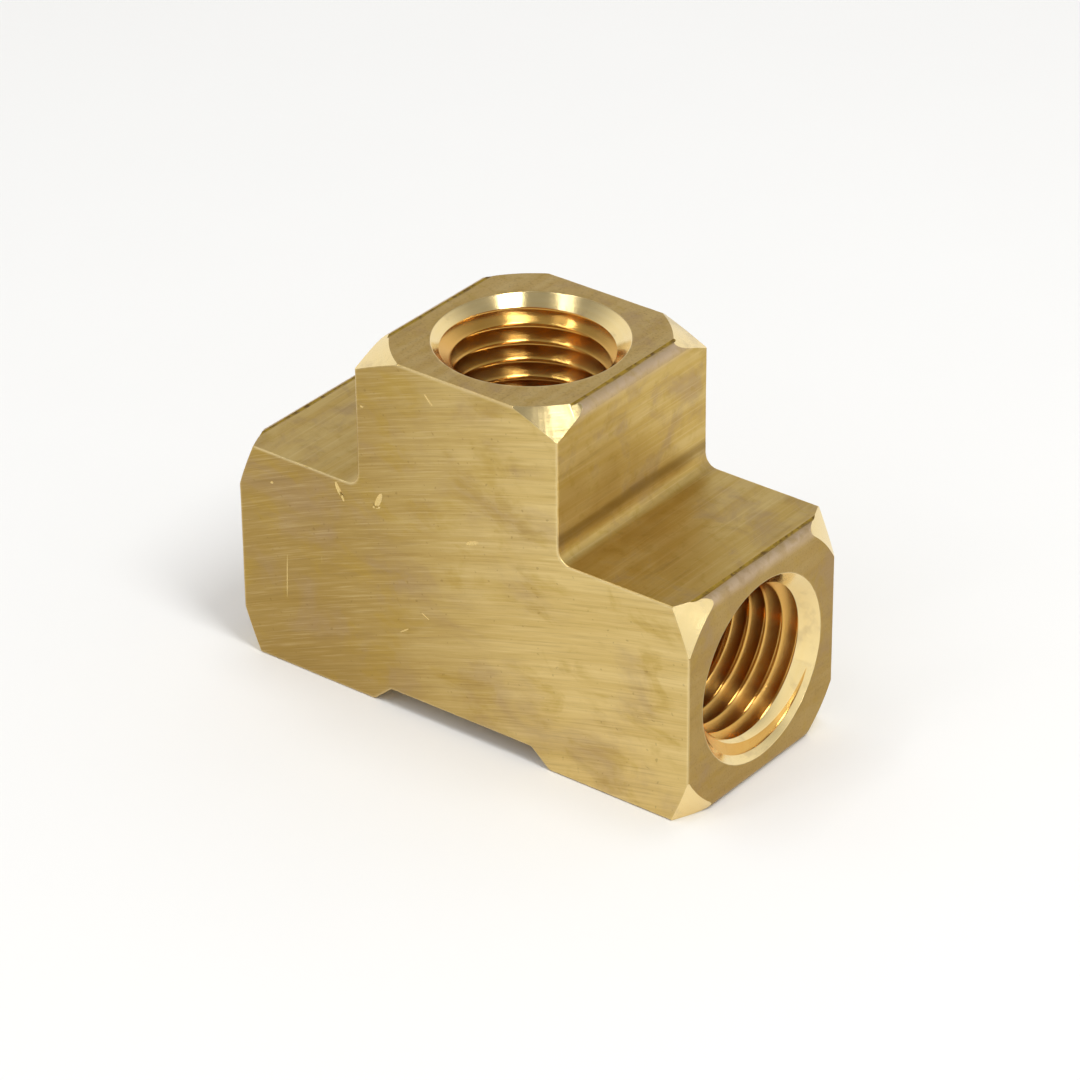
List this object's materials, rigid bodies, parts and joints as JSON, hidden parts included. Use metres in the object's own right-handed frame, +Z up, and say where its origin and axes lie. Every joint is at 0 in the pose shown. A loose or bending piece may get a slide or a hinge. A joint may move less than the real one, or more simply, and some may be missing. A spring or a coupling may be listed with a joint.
{
  "type": "tee fitting",
  "caption": "Brass bar-stock pipe tee: a T-shaped body with a female tapered pipe thread in each port, which joins a branch to a straight run of pipe.",
  "frame": {"origin": "middle of the base, in the plane that the two feet stand on, under the point where the three port axes meet", "axes": "+X along the run, +Y across the bar's thickness, from the flat that the picture shows towards the flat behind, +Z up along the branch"},
  "size_m": [0.0406, 0.0174, 0.0285],
  "materials": {
    "brass": "satin, as sawn and extruded, with bright turned mouths and threads"
  },
  "bodies": {
    "root": {"tee_body": "brass"}
  },
  "joints": []
}
